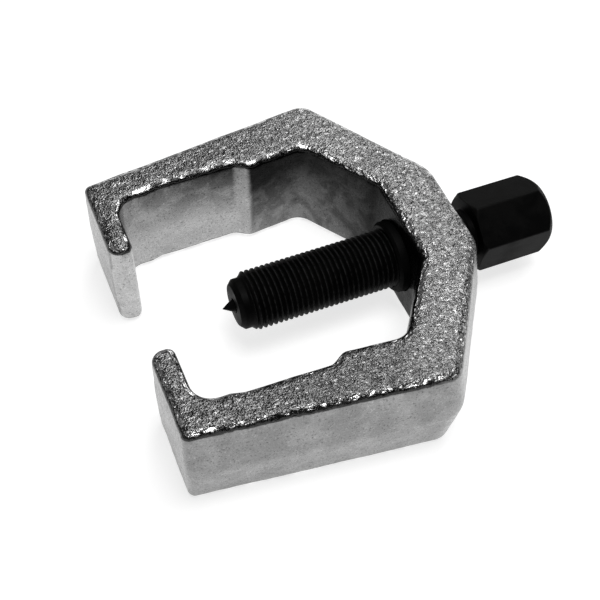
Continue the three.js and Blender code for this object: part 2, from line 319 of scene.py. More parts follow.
face_color = mix_color(tree, coarse["Mask"], grey(hollow_grey), grey(grain_grey))
stained = times(tree, wide["Mask"], face_stain_strength)
face_color = mix_color(tree, stained, face_color, grey(face_stain_grey))
# painted glints: pale specks on the blasted faces
face_color = mix_color(tree, painted_glints["Mask"], face_color, grey(glint_grey))
# painted light and shade on the faces, from the number kept at each vertex
face_color = darkened(tree, face_color, painted_light)

# %% [markdown]
# Walls and faces now meet at the ragged border, with the painted dark edge line and the painted highlight
# spots on top. A metal is bright at a grazing angle whatever its colour, which would light up the walls that
# carry painted shade deep in the throat, so its specular tint is lowered there too, as more painted shade.
# The faces' grain is deep enough to feel, the walls' only just.

# %% Put the plated forging together
edge_shade_grey, edge_highlight_grey, edge_shade_strength = 0.02, 0.9, 0.9
shaded_sheen, unshaded_sheen = 0.6, 1.0
coarse_depth, fine_depth, wall_depth = 0.0004, 0.00006, 0.00005
highlight_smoothing = 0.8

color = mix_color(tree, flat_face, wall_color, face_color)
# the painted dark line of shade along the edges
color = mix_color(tree, times(tree, painted_edge_shade, edge_shade_strength), color, grey(edge_shade_grey))
# the painted highlight spots just inside the edges
color = mix_color(tree, painted_edge_highlight, color, grey(edge_highlight_grey))
tree.links.new(color, shader.inputs["Base Color"])
# the painted shade also lowers the specular tint deep in the throat
shade_sheen = mix_color(tree, remap(tree, painted_light, 0.05, 0.4), grey(shaded_sheen), grey(unshaded_sheen))
tree.links.new(shade_sheen, shader.inputs["Specular Tint"])
shader.inputs["Metallic"].default_value = 0.9
roughness = remap(tree, plus(tree, coarse["Height"], fine["Height"]), 0.7, 1.3, 0.2, 0.34)
tree.links.new(roughness, shader.inputs["Roughness"])

coarse_height = times(tree, coarse["Height"], coarse_depth)
grain_height = plus(tree, coarse_height, times(tree, fine["Height"], fine_depth))
# the grain's bump is smoothed under the painted highlight
unhighlighted = minus(tree, 1.0, times(tree, painted_edge_highlight, highlight_smoothing))
face_height = times(tree, grain_height, times(tree, flat_face, unhighlighted))
add_bump(tree, shader, plus(tree, face_height, times(tree, fine["Height"], wall_depth)))
print(plated.name, "has", len(tree.nodes), "nodes")

# %% [markdown]
# ## Black oxide
# The bush, the screw and the point share one finish: steel blackened in a hot bath and oiled. It is nearly
# black and satin. Each piece gets its own depth of black, grain and wear, so a function builds the material.

# %% Black oxide materials
oxide_gloss_range, oxide_mirror, bare_steel_grey = 0.14, 0.035, 0.09
cool_tint, warm_tint = -0.02, 0.02
cloud_share, tooth_share, tooth_strength = 1.7, 0.55, 0.4


def black_oxide(name, depth, gloss, worn, grain_depth):
    material, tree, shader = new_material(name)
    tooth = effect(tree, grain_group, {"Cell Size": 0.00045, "Detail": 3.0, "Low": 0.3, "High": 0.7})
    clouds = effect(tree, stain_group, {"Patch Size": 0.007, "Ragged": 0.6, "Low": 0.4, "High": 0.66})
    wear = effect(tree, wear_group, {"From Bend": 0.12, "To Bend": 0.5})
    cloud_color = grey(depth * cloud_share, warm_tint)
    color = mix_color(tree, clouds["Mask"], grey(depth, cool_tint), cloud_color)
    dark_teeth = times(tree, tooth["Mask"], tooth_strength)
    color = mix_color(tree, dark_teeth, color, grey(depth * tooth_share))
    color = mix_color(tree, times(tree, wear["Mask"], worn), color, grey(bare_steel_grey))
    tree.links.new(color, shader.inputs["Base Color"])
    roughness = remap(tree, clouds["Mask"], 0.0, 1.0, gloss, gloss + oxide_gloss_range)
    tree.links.new(roughness, shader.inputs["Roughness"])
    shader.inputs["Metallic"].default_value = 0.0
    shader.inputs["Specular IOR Level"].default_value = oxide_mirror
    add_bump(tree, shader, times(tree, tooth["Height"], grain_depth))
    print(name, "has", len(tree.nodes), "nodes")
    return material


black_screw = black_oxide("black_screw", depth=0.003, gloss=0.42, worn=0.35, grain_depth=0.00003)
black_bush = black_oxide("black_bush", depth=0.0035, gloss=0.5, worn=0.3, grain_depth=0.00004)
hard_point = black_oxide("hardened_point", depth=0.006, gloss=0.36, worn=0.5, grain_depth=0.00002)

# %% [markdown]
# ## Spring steel
# The split ring that keeps the point in the nose is hidden inside the screw. It stays as the CAD node, with
# an oiled spring steel finish of its own: drawn streaks round the wire and a faint straw-coloured temper.

# %% Spring steel material
straw, straw_strength = (0.30, 0.24, 0.17, 1.0), 0.4
dark_streak, pale_streak, streak_depth = 0.24, 0.36, 0.00001

spring_steel, tree, shader = new_material("spring_steel")
streaks = effect(tree, grain_group, {"Cell Size": 0.00012, "Detail": 2.0, "Low": 0.3, "High": 0.7})
temper = effect(tree, stain_group, {"Patch Size": 0.002, "Ragged": 0.5, "Low": 0.35, "High": 0.65})
color = mix_color(tree, streaks["Mask"], grey(dark_streak), grey(pale_streak))
color = mix_color(tree, times(tree, temper["Mask"], straw_strength), color, straw)
tree.links.new(color, shader.inputs["Base Color"])
shader.inputs["Metallic"].default_value = 1.0
tree.links.new(remap(tree, streaks["Mask"], 0.0, 1.0, 0.25, 0.4), shader.inputs["Roughness"])
add_bump(tree, shader, times(tree, streaks["Height"], streak_depth))

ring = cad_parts["point_ring"]
ring.data.materials.clear()
ring.data.materials.append(spring_steel)
print("point_ring keeps its CAD mesh")

# %% [markdown]
# ## Helpers for meshes
# Most pieces start as rings of points. Joining ring after ring with four-sided faces gives clean surfaces
# that can be bent, cut or shaded without creases. Cleaning merges the doubles where two parts meet, and its
# count of open edges tells at once whether a piece is closed.

# %% Mesh helpers
merge_distance, fine_merge_distance = 0.01, 0.004


def new_mesh(name, points, faces):
    mesh = bpy.data.meshes.new(name)
    mesh.from_pydata([tuple(p) for p in points], [], faces)
    return mesh


def clean(mesh, merge=merge_distance):
    """Merges doubles, drops specks of area and makes every face point outwards."""
    work = bmesh.new()
    work.from_mesh(mesh)
    bmesh.ops.remove_doubles(work, verts=work.verts, dist=merge)
    bmesh.ops.dissolve_degenerate(work, edges=work.edges, dist=merge / 10)
    bmesh.ops.recalc_face_normals(work, faces=work.faces)
    work.to_mesh(mesh)
    open_edges = sum(1 for e in work.edges if len(e.link_faces) != 2)
    work.free()
    mesh.shade_smooth()
    return open_edges


# %% [markdown]
# A lathe turns a bar from a profile, a list of places along the axis with the radius at each. Real turned
# edges are never quite sharp, so the profile's corners are rounded first. Long straight stretches get
# extra points, which the hexagon's flats need later on.

# %% Turning helpers
smallest_turn, room_share, no_length = 0.05, 0.45, 1e-6


def soften(profile, radius, steps=4):
    """Rounds every corner of an [x, radius] profile but its two ends. An arc takes no more than its share
    of the lines beside it."""
    rounded = [profile[0]]
    for before, corner, after in zip(profile, profile[1:], profile[2:]):
        here = Vector(corner)
        to_before, to_after = Vector(before) - here, Vector(after) - here
        room = min(to_before.length, to_after.length) * room_share
        turn = math.pi - to_before.angle(to_after)
        if turn < smallest_turn or room < no_length:
            rounded.append(corner)
            continue
        back = min(radius * math.tan(turn / 2), room)
        start, end = here + to_before.normalized() * back, here + to_after.normalized() * back
        for step in range(steps + 1):
            t = step / steps
            bent = start.lerp(here, t).lerp(here.lerp(end, t), t)
            rounded.append((bent.x, bent.y))
    rounded.append(profile[-1])
    return rounded


def densify(profile, longest):
    """Adds points so that no step of the profile is longer than a given length."""
    dense = [profile[0]]
    for here, after in zip(profile, profile[1:]):
        pieces = max(1, math.ceil((Vector(after) - Vector(here)).length / longest))
        for step in range(1, pieces + 1):
            point = Vector(here).lerp(Vector(after), step / pieces)
            dense.append((point.x, point.y))
    return dense


def turned(name, profile, sides, angles=None):
    """A mesh turned about the X axis from an [x, radius] profile. A radius of 0 becomes one closed pole."""
    angles = np.arange(sides) * 2 * math.pi / sides if angles is None else angles
    points, rings = [], []
    for x, radius in profile:
        count = 1 if radius < no_length else sides
        rings.append(list(range(len(points), len(points) + count)))
        for k in range(count):
            points.append((x, radius * math.cos(angles[k]), radius * math.sin(angles[k])))
    faces = []
    for low, high in zip(rings, rings[1:]):
        for k in range(sides):
            after = k + 1
            corners = (low[k % len(low)], low[after % len(low)], high[after % len(high)], high[k % len(high)])
            face = list(dict.fromkeys(corners))
            if len(face) > 2:
                faces.append(face)
    return new_mesh(name, points, faces)


# %% [markdown]
# Black oxide wears through first where the steel bends outwards. That bend can be measured along each edge:
# how much the normals at its two ends open away from each other. The mean over a vertex's edges is kept at
# the vertex, where the material can read it.

# %% Numbers kept at the vertices
def keep_at_vertices(mesh, name, values):
    attribute = mesh.attributes.new(name, "FLOAT", "POINT")
    attribute.data.foreach_set("value", np.asarray(values, dtype=np.float32))
    print(name, "runs from", round(float(np.min(values)), 2), "to", round(float(np.max(values)), 2))


def at_vertices(mesh, what):
    """One row of three numbers for each vertex."""
    values = np.zeros(len(mesh.vertices) * 3)
    mesh.vertices.foreach_get(what, values)
    return values.reshape(-1, 3)


def measure_bend(mesh):
    """Stores at each vertex how sharply the surface bends outwards, for the wear effect."""
    places, normals = at_vertices(mesh, "co"), at_vertices(mesh, "normal")
    ends = np.zeros(len(mesh.edges) * 2, dtype=np.int64)
    mesh.edges.foreach_get("vertices", ends)
    first, second = ends.reshape(-1, 2).T
    between = places[second] - places[first]
    length = np.maximum(np.linalg.norm(between, axis=1), 1e-9)
    rise = ((normals[second] - normals[first]) * between).sum(1) / length
    total, share = np.zeros(len(places)), np.zeros(len(places))
    for index in (first, second):
        np.add.at(total, index, rise)
        np.add.at(share, index, 1)
    keep_at_vertices(mesh, "bend", total / np.maximum(share, 1))


# %% [markdown]
# Each finished piece rides on the same body as the CAD node that it replaces, so it moves with the joints.
# Modifiers do their work on a throwaway object, and only the plain mesh that comes out is kept.

# %% Piece helpers
crease_angle = math.radians(50)


def add_piece(name, mesh, material, body, stands_for):
    mesh.materials.clear()
    mesh.materials.append(material)
    piece = bpy.data.objects.new(name, mesh)
    bpy.context.scene.collection.objects.link(piece)
    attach(piece, body)
    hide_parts(stands_for)
    triangles = sum(len(face.vertices) - 2 for face in mesh.polygons)
    print(name, "has", triangles, "triangles")
    return piece


def add_turned_piece(name, mesh, material, body, stands_for, merge=merge_distance):
    """Closes a turned piece, measures where it can wear, and adds it."""
    print("open edges of", name, clean(mesh, merge))
    measure_bend(mesh)
    mesh.set_sharp_from_angle(angle=crease_angle)
    return add_piece(name, to_row(mesh), material, body, stands_for)


def evaluated(mesh, kind, options, values=None):
    """Runs one modifier on a mesh and returns the plain mesh that comes out."""
    host = bpy.data.objects.new("host", mesh)
    bpy.context.scene.collection.objects.link(host)
    modifier = host.modifiers.new(kind.lower(), kind)
    for option, value in options.items():
        setattr(modifier, option, value)
    if kind == "NODES":
        for item in modifier.node_group.interface.items_tree:
            if item.item_type == "SOCKET" and item.in_out == "INPUT" and item.name in values:
                modifier[item.identifier] = values[item.name]
    graph = bpy.context.evaluated_depsgraph_get()
    made = bpy.data.meshes.new_from_object(host.evaluated_get(graph))
    bpy.data.objects.remove(host)
    return made


# %% [markdown]
# ## Yoke
# The yoke is one drop forging. Seen from above it is a thick C with a half-hexagon back, two arms with a
# ramp inside, and two hooks. Two dies met at half its height, so every outer wall leans in from there by the
# draft. A box model with bevels would lose the draft, so the outline is worked out afresh at each height:
# walls are moved outwards, corners are rounded by arcs, and each stretch is cut into the same number of
# steps, which lets the outlines stack into rings.

# %% Yoke sizes, seen from above
slant_draft, tip_draft, inner_draft = 2.5, 1.0, 0.4
mouth_half_width, hook_thickness, back_wall = 15.5, 6.0, 15.0
inner_back_x = back_x - back_wall
# Corners of the far half, from the back round the hook to the inner back wall:
# x, y, corner radius, and how far the wall after the corner swells at half height.
yoke_corners = [
    (back_x, 13.4, 10.0, slant_draft),
    (64.6, 48.1, 5.0, outer_draft),
    (0.0, 40.1, 1.8, hook_draft),
    (0.0, mouth_half_width, 3.0, tip_draft),
    (hook_thickness, mouth_half_width, 2.0, 0.0),
    (hook_thickness, 32.3, 5.5, inner_draft),
    (14.0, 32.3, 2.6, inner_draft),
    (17.0, 33.1, 2.6, inner_draft),
    (38.7, 33.65, 2.6, inner_draft),
    (42.5, 31.25, 2.6, inner_draft),
    (58.3, 32.85, 5.0, inner_draft),
    (inner_back_x, 12.7, 4.0, inner_draft),
]
BACK_OUTER, SHOULDER_OUTER, HOOK_OUTER, TIP_OUTER, TIP_INNER, HOOK_ROOT = range(6)
SHOULDER_INNER, BACK_INNER = len(yoke_corners) - 2, len(yoke_corners) - 1
smallest_radius = 0.3
arc_steps = 12
parting_softness = 0.08
print("the yoke's far half has", len(yoke_corners), "corners")

# %% [markdown]
# Each wall keeps its direction and moves out by its share of the draft. Two neighbouring walls, moved, meet
# in a new sharp corner, and an arc that touches both replaces it. Where a wall swells out, an outer corner's
# radius grows and an inner corner's shrinks by as much, which keeps the swell the same all round the corner.

# %% The outline at one height
def swell_share(height):
    """1 at half height and 0 at the upper and lower faces, with a softly rounded parting line."""
    q = height / half_thickness
    fall = math.hypot(q, parting_softness) - parting_softness
    return 1 - fall / (math.hypot(1, parting_softness) - parting_softness)


def half_outline(height, pulled_in):
    """The corner arcs of the far half of the outline, each a list of points."""
    share = swell_share(height)
    x, y = np.array([c[0] for c in yoke_corners]), np.array([c[1] for c in yoke_corners])
    x, y = np.r_[x[0], x, x[-1]], np.r_[-y[0], y, -y[-1]]
    moved = np.array([outer_draft] + [c[3] for c in yoke_corners]) * share - pulled_in
    starts = np.c_[x, y][:-1]
    along = np.diff(np.c_[x, y], axis=0)
    along /= np.linalg.norm(along, axis=1)[:, None]
    outward = np.c_[along[:, 1], -along[:, 0]]
    starts = starts + outward * moved[:, None]
    arcs = []
    for i, corner in enumerate(yoke_corners):
        into, out = along[i], along[i + 1]
        cross = into[0] * out[1] - into[1] * out[0]
        turn = math.atan2(cross, into @ out)
        bend = math.copysign(1, turn)
        radius = max(corner[2] + bend * (moved[i] + moved[i + 1]) / 2, smallest_radius)
        between = starts[i + 1] - starts[i]
        sharp = starts[i] + into * (between[0] * out[1] - between[1] * out[0]) / cross
        start = sharp - into * radius * math.tan(abs(turn) / 2)
        centre = start + np.array([-into[1], into[0]]) * bend * radius
        angles = turn * np.linspace(0, 1, arc_steps + 1)
        arm = start - centre
        arcs.append(np.c_[
            centre[0] + arm[0] * np.cos(angles) - arm[1] * np.sin(angles),
            centre[1] + arm[0] * np.sin(angles) + arm[1] * np.cos(angles),
        ])
    return arcs


print("corner arcs", len(half_outline(0, 0)))

# %% [markdown]
# Each outline is cut into stretches, and each stretch into a fixed number of steps. The stretches of the
# outer and the inner side are paired, so the upper face can be filled with rows of four-sided faces that
# run across the arm, from one tip of the C to the other.

# %% Cutting an outline into even steps
def resampled(points, steps):
    points = np.asarray(points)
    length = np.r_[0, np.cumsum(np.linalg.norm(np.diff(points, axis=0), axis=1))]
    at = np.linspace(0, length[-1], steps + 1)
    return np.c_[np.interp(at, length, points[:, 0]), np.interp(at, length, points[:, 1])]


back_steps, back_arc, slant_steps, shoulder_arc = 10, 18, 56, 14
arm_steps, corner_arc, hook_steps, half_tip_arc, tip_steps = 112, 10, 38, 4, 10
middle = arc_steps // 2


def outline(height, pulled_in):
    """Outer side, tip and inner side of the far half, each as evenly cut points."""
    arcs = half_outline(height, pulled_in)

    def straight(before, after, steps):
        return [arcs[before][-1], arcs[after][0]], steps

    outer = [
        ([(arcs[BACK_OUTER][0][0], 0), arcs[BACK_OUTER][0]], back_steps),
        (arcs[BACK_OUTER], back_arc),
        straight(BACK_OUTER, SHOULDER_OUTER, slant_steps),
        (arcs[SHOULDER_OUTER], shoulder_arc),
        straight(SHOULDER_OUTER, HOOK_OUTER, arm_steps),
        (arcs[HOOK_OUTER], corner_arc),
        straight(HOOK_OUTER, TIP_OUTER, hook_steps),
        (arcs[TIP_OUTER][:middle + 1], half_tip_arc),
    ]
    tip = [
        (arcs[TIP_OUTER][middle:], half_tip_arc),
        straight(TIP_OUTER, TIP_INNER, tip_steps),
        (arcs[TIP_INNER][:middle + 1], half_tip_arc),
    ]
    ramps = np.vstack([
        arcs[HOOK_ROOT][-1:], *arcs[HOOK_ROOT + 1:SHOULDER_INNER], arcs[SHOULDER_INNER][:1],
    ])
    inner = [
        (arcs[TIP_INNER][middle:], half_tip_arc),
        straight(TIP_INNER, HOOK_ROOT, hook_steps),
        (arcs[HOOK_ROOT], corner_arc),
        (ramps, arm_steps),
        (arcs[SHOULDER_INNER], shoulder_arc),
        straight(SHOULDER_INNER, BACK_INNER, slant_steps),
        (arcs[BACK_INNER], back_arc),
        ([arcs[BACK_INNER][-1], (arcs[BACK_INNER][-1][0], 0)], back_steps),
    ]
    joined = []
    for side in (outer, tip, inner):
        cut = [resampled(points, steps) for points, steps in side]
        joined.append(np.vstack([cut[0]] + [part[1:] for part in cut[1:]]))
    return joined


def full_ring(height, pulled_in):
    """The closed outline: the far half and its mirror image."""
    outer, tip, inner = outline(height, pulled_in)
    far = np.vstack([outer, tip[1:], inner[1:]])
    near = far[::-1] * (1, -1)
    return np.vstack([far, near[1:-1]])


print("points round the yoke", len(full_ring(0, 0)))

# %% [markdown]
# The walls are rings of that outline from the lower face to the upper. The last rings bend inwards along a
# quarter of an ellipse, which is the rolled edge that hot steel takes where it doesn't quite fill the die.

# %% Stacking the rings
edge_drop, edge_reach = 1.8, 2.3
edge_steps = 8
wall_levels = 18

levels = [(h, 0.0) for h in np.linspace(0, half_thickness - edge_drop, wall_levels + 1)]
for step in range(1, edge_steps + 1):
    angle = math.pi / 2 * step / edge_steps
    rise = edge_drop * math.sin(angle)
    levels.append((half_thickness - edge_drop + rise, edge_reach * (1 - math.cos(angle))))
levels = [(-h, p) for h, p in levels[:0:-1]] + levels

wall_points, wall_faces = [], []
for height, pulled_in in levels:
    wall_points += [(x, y, height) for x, y in full_ring(height, pulled_in)]
around = len(wall_points) // len(levels)
for level in range(len(levels) - 1):
    for k in range(around):
        a, b = level * around + k, level * around + (k + 1) % around
        wall_faces.append((a, b, b + around, a + around))
print("wall faces", len(wall_faces))

# %% [markdown]
# One large face would shade badly once the surface is rippled. The upper and lower faces are filled with
# rows that run from the outer to the inner side of the C, and the last few rows bend round the hook's tip.

# %% Filling the upper and lower faces
tip_blend_rows = 8


def face_rows():
    """Rows of points across the upper face, from the middle of the back to the far tip, then mirrored."""
    outer, tip, inner = outline(half_thickness, edge_reach)
    inner = inner[::-1]
    share = np.linspace(0, 1, len(tip))[:, None]
    bulge = tip - (tip[0] * (1 - share) + tip[-1] * share)
    rows = []
    for k, (start, end) in enumerate(zip(outer, inner)):
        fade = max(0.0, 1 - (len(outer) - 1 - k) / tip_blend_rows)
        rows.append(start * (1 - share) + end * share + bulge * fade ** 2)
    mirrored = [row * (1, -1) for row in rows[:0:-1]]
    return mirrored + rows


rows = face_rows()
across = len(rows[0])
face_points, face_faces = [], []
for side in (1, -1):
    base = len(face_points)
    face_points += [(x, y, side * half_thickness) for row in rows for x, y in row]
    for r in range(len(rows) - 1):
        for c in range(across - 1):
            a = base + r * across + c
            face_faces.append((a, a + 1, a + across + 1, a + across))
offset = len(wall_points)
yoke_mesh = new_mesh(
    "yoke", wall_points + face_points,
    wall_faces + [tuple(i + offset for i in face) for face in face_faces])
print("open edges after closing", clean(yoke_mesh))

# %% [markdown]
# A forging is never perfectly flat. Each point is moved along its normal by a smooth noise, a wide one for
# the slight waves left by the dies and a small one that makes the edges uneven. mathutils' noise has no
# seed: the same place always gives the same value, so the shape is the same in each run.

# %% Waves of the forged surface
wave_size, wave_height = 9.0, 0.10
dent_size, dent_height = 2.6, 0.07


def ripple(mesh):
    normals = [v.normal.copy() for v in mesh.vertices]
    for vertex, normal in zip(mesh.vertices, normals):
        here = vertex.co
        lift = wave_height * noise.noise(here / wave_size) + dent_height * noise.noise(here / dent_size)
        vertex.co = here + normal * lift
    mesh.update()


ripple(yoke_mesh)
print("rippled", len(yoke_mesh.vertices), "points")

# %% [markdown]
# ## Bore
# The bore is machined after forging: a seat for the bush from the inside, a smaller hole through the rest,
# and a chamfer at each mouth. A Boolean cut with a turned cutter leaves the crisp edge that machining leaves
# on a rough forging.

# %% Cut the bore
bore_sides = 96
seat_radius, hole_radius, ledge_x = 9.76, 8.5, back_x - 4.0
inner_mouth_radius, inner_mouth_x = 10.3, inner_back_x - 0.7
outer_mouth_radius, outer_mouth_x, outer_mouth_end_x = 9.7, back_x + 1.2, back_x + 2.4
bore_from_x, bore_to_x = inner_back_x - 6.0, back_x + 5.0

bore_profile = [
    (bore_from_x, 0.0), (bore_from_x, inner_mouth_radius), (inner_mouth_x, inner_mouth_radius),
    (inner_back_x, seat_radius), (ledge_x, seat_radius),
    (ledge_x, hole_radius), (outer_mouth_x, hole_radius), (outer_mouth_end_x, outer_mouth_radius),
    (bore_to_x, outer_mouth_radius), (bore_to_x, 0.0),
]
cutter_mesh = turned("cutter", bore_profile, bore_sides)
clean(cutter_mesh)
cutter = bpy.data.objects.new("cutter", cutter_mesh)
bpy.context.scene.collection.objects.link(cutter)
boring = {"object": cutter, "operation": "DIFFERENCE", "solver": "EXACT"}
yoke_mesh = evaluated(yoke_mesh, "BOOLEAN", boring)
bpy.data.objects.remove(cutter)
print("open edges after boring", clean(yoke_mesh, fine_merge_distance))
yoke_mesh.set_sharp_from_angle(angle=crease_angle)

# %% [markdown]
# ## What steers the yoke's finish
# The first of the three numbers is the roll. It is 1 where the surface lies flat on the upper or lower face
# and falls to 0 where the rolled edge has turned into the wall. Only a thin skin under each face counts, or
# the bore's upper and lower sides would be taken for faces too.

# %% Mark the upper and lower faces
skin_depth = 3.0


def in_skin(vertex):
    return abs(vertex.co.z) > half_thickness - skin_depth


keep_at_vertices(yoke_mesh, "roll", [abs(v.normal.z) if in_skin(v) else 0.0 for v in yoke_mesh.vertices])

# %% [markdown]
# Light and shade are painted into the plating's colour. The walls inside the throat get painted shade, darker
# towards the back and most of all in their upper half, while the hooks' tips get painted light and stay the
# palest, and the hooks and the other outer walls get painted brightness of their own. The number is kept at
# each
# vertex: 1 leaves the colour as it is, less darkens it. It follows a few places along the screw, with
# straight runs between them. The two arms' faces have painted light and shade of their own, darker on the
# near arm.

# %% Painted light and shade of the plating
# painted shade on the throat's walls, along the screw and rising from half height upwards
tone_x = (6.0, 15.0, 30.0, 38.4, 39.4, 42.0, 43.2, 65.0, 72.0)
tone_at_half_height = (0.85, 0.9, 0.85, 0.75, 1.0, 1.1, 0.22, 0.15, 0.04)
tone_lost_at_top = (0.3, 0.6, 0.8, 0.8, 0.6, 0.5, 0.45, 0.12, 0.01)
darkest_tone, palest_tone = 0.03, 1.05
# painted light on the hooks' tips, the hooks and the outer walls
tip_tone, hook_tone, outer_tone = 1.35, 0.58, 0.76
# painted light and shade on the upper and lower faces, darker on the near arm
face_tone_x = (0.0, 15.0, 30.0, 50.0, 66.0, 74.0, 87.0)
far_face_tones = (0.88, 0.8, 0.76, 0.8, 1.08, 0.95, 0.82)
near_face_tones = (0.7, 0.53, 0.46, 0.47, 0.84, 0.84, 0.82)
facing_up, margin = 0.6, 0.3
throat_end_x, throat_half_width = 72.6, 34.6
tip_half_width, hook_half_width = 17.0, 38.0


# painted shade in the throat: darker towards the back and higher up
def throat_shade(x, z):
    middle_tone, lost = np.interp(x, tone_x, tone_at_half_height), np.interp(x, tone_x, tone_lost_at_top)
    return min(max(middle_tone - lost * z / half_thickness, darkest_tone), palest_tone)


def tone_of(vertex):
    x, y, z = vertex.co
    hook_end_x = hook_thickness + margin
    if abs(vertex.normal.z) > facing_up and in_skin(vertex):
        return np.interp(x, face_tone_x, near_face_tones if y < 0 else far_face_tones)
    if hook_end_x < x < throat_end_x and abs(y) < throat_half_width:
        return throat_shade(x, z)
    if x < hook_end_x and abs(y) < tip_half_width:
        return tip_tone
    if x < hook_end_x and abs(y) < hook_half_width:
        return hook_tone
    return outer_tone


keep_at_vertices(yoke_mesh, "painted_light", [tone_of(vertex) for vertex in yoke_mesh.vertices])

# %% [markdown]
# The last number says where the dark line of painted shade runs. It follows both sides of the arms and the
# hooks, and the inner side of the back, but fades out round the outer side of the back, where the edge stays
# bright.

# %% Where the painted shade runs along the edges
fade_from, fade_to = 58.0, 66.0
across_slant = Vector((0.84, 0.542))
middle_of_slant, middle_of_back = 74.0, 79.5


# where the painted dark line of shade runs: everywhere but round the outer side of the back
def edge_shade_of(vertex):
    x, y, z = vertex.co
    on_outer_side = across_slant.dot((x, abs(y))) > middle_of_slant or x > middle_of_back
    return np.interp(x, (fade_from, fade_to), (1.0, 0.0)) if on_outer_side else 1.0


keep_at_vertices(yoke_mesh, "edge_shade", [edge_shade_of(vertex) for vertex in yoke_mesh.vertices])
add_piece("forged_yoke", to_row(yoke_mesh), plated, "root", "yoke")

# %% [markdown]
# ## Thread
# A screw thread follows a rule: at each place the radius depends only on how far round and how far along
# it is. A grid is wrapped round the axis and each point gets its radius from that rule, so one tree makes
# the screw's thread and, turned inside out, the bush's. The grid's points crowd together towards six
# directions, because the same circle carries the corners of the hexagon further on.

# %% Thread tree: where each point is
HEXAGON = 6
thread_tree, given, result = new_group(
    "thread", "GeometryNodeTree",
    [("Start", FLOAT, 0.0), ("Length", FLOAT, 0.06), ("Pitch", FLOAT, 0.0014), ("Root Radius", FLOAT, 0.0071),
     ("Crest Radius", FLOAT, 0.0079), ("Phase", FLOAT, 0.0), ("Inside", YES_NO, False),
     ("Rows per Turn", WHOLE, 10), ("Sides", WHOLE, 120), ("Turn", FLOAT, 0.0),
     ("Crowding", FLOAT, 0.6), ("Finish", MATERIAL, None)],
    [("Geometry", GEOMETRY)],
)


def position(tree):
    """The X, Y and Z of each point."""
    here = place(tree, "GeometryNodeInputPosition").outputs[0]
    return place(tree, "ShaderNodeSeparateXYZ", {"Vector": here}).outputs


tree = thread_tree
turns = over(tree, given["Length"], given["Pitch"])
row_count = calc(tree, "ROUND", times(tree, turns, given["Rows per Turn"]))
grid = place(tree, "GeometryNodeMeshGrid", {
    "Size X": 1.0, "Size Y": 1.0, "Vertices X": plus(tree, row_count, 1.0),
    "Vertices Y": plus(tree, given["Sides"], 1.0),
}).outputs["Mesh"]
at = position(tree)
along = times(tree, plus(tree, at["X"], 0.5), given["Length"])
even = times(tree, plus(tree, at["Y"], 0.5), 2 * math.pi)
crowd = times(tree, calc(tree, "SINE", times(tree, even, HEXAGON)), given["Crowding"])
angle = plus(tree, plus(tree, even, over(tree, crowd, HEXAGON)), given["Turn"])
print("thread tree has", len(tree.nodes), "nodes so far")

# %% [markdown]
# The ridge rises once per turn: the distance along the screw, counted in turns, less the angle, counted in
# turns, gives the same number all along the ridge. The ends run down to a plain circle, which lets the
# neighbouring turned parts join on without a gap.

# %% Thread tree: how far out each point is
flank_start, flank_end = 0.1, 0.86
seam_merge = 0.00001


def finish_tree(tree, geometry, material, result):
    """Every tree ends alike: real geometry with its finish on."""
    real = place(tree, "GeometryNodeRealizeInstances", {"Geometry": geometry}).outputs[0]
    done = place(tree, "GeometryNodeSetMaterial", {"Geometry": real, "Material": material}).outputs[0]
    tree.links.new(done, result)
    print(tree.name, "tree has", len(tree.nodes), "nodes")


from_ridge = minus(tree, over(tree, along, given["Pitch"]), over(tree, angle, 2 * math.pi))
phase = calc(tree, "FRACT", plus(tree, from_ridge, given["Phase"]))
away = calc(tree, "ABSOLUTE", minus(tree, times(tree, phase, 2.0), 1.0))
ridge = remap(tree, minus(tree, 1.0, away), flank_start, flank_end)
depth = minus(tree, given["Crest Radius"], given["Root Radius"])
radius = plus(tree, given["Root Radius"], times(tree, ridge, depth))
from_end = calc(tree, "MINIMUM", along, minus(tree, given["Length"], along))
outside = calc(tree, "MINIMUM", radius, plus(tree, given["Root Radius"], from_end))
inside = calc(tree, "MAXIMUM", radius, minus(tree, given["Crest Radius"], from_end))
sockets = {"Switch": given["Inside"], "False": outside, "True": inside}
radius = place(tree, "GeometryNodeSwitch", sockets, input_type="FLOAT").outputs[0]
wrapped = place(tree, "ShaderNodeCombineXYZ", {
    "X": plus(tree, along, given["Start"]),
    "Y": times(tree, radius, calc(tree, "COSINE", angle)),
    "Z": times(tree, radius, calc(tree, "SINE", angle)),
}).outputs[0]
moved = place(tree, "GeometryNodeSetPosition", {"Geometry": grid, "Position": wrapped}).outputs[0]
joined = place(tree, "GeometryNodeMergeByDistance", {"Geometry": moved, "Distance": seam_merge}).outputs[0]
finish_tree(tree, joined, given["Finish"], result["Geometry"])

# %% [markdown]
# ## Milled flats
# The head is turned first and then milled to a hexagon. The tree does the same: each point of a turned
# blank is pulled in to the nearest of the flats, through a smooth minimum that leaves the edges slightly
# rounded.

# %% Flats tree
flats_tree, given, result = new_group(
    "milled flats", "GeometryNodeTree",
    [("Geometry", GEOMETRY, None), ("Across Flats", FLOAT, 0.019), ("Flats", WHOLE, HEXAGON),
     ("Turn", FLOAT, 0.0), ("Edge Softness", FLOAT, 0.0006), ("Finish", MATERIAL, None)],
    [("Geometry", GEOMETRY)],
)
tree = flats_tree
at = position(tree)
y_squared, z_squared = times(tree, at["Y"], at["Y"]), times(tree, at["Z"], at["Z"])
blank = calc(tree, "SQRT", plus(tree, y_squared, z_squared))
sector = over(tree, 2 * math.pi, given["Flats"])
from_turn = minus(tree, calc(tree, "ARCTAN2", at["Z"], at["Y"]), given["Turn"])
sectors = over(tree, from_turn, sector)
from_flat = calc(tree, "ABSOLUTE", times(tree, minus(tree, sectors, calc(tree, "ROUND", sectors)), sector))
reach = over(tree, given["Across Flats"], 2.0)
this_flat = over(tree, reach, calc(tree, "COSINE", from_flat))
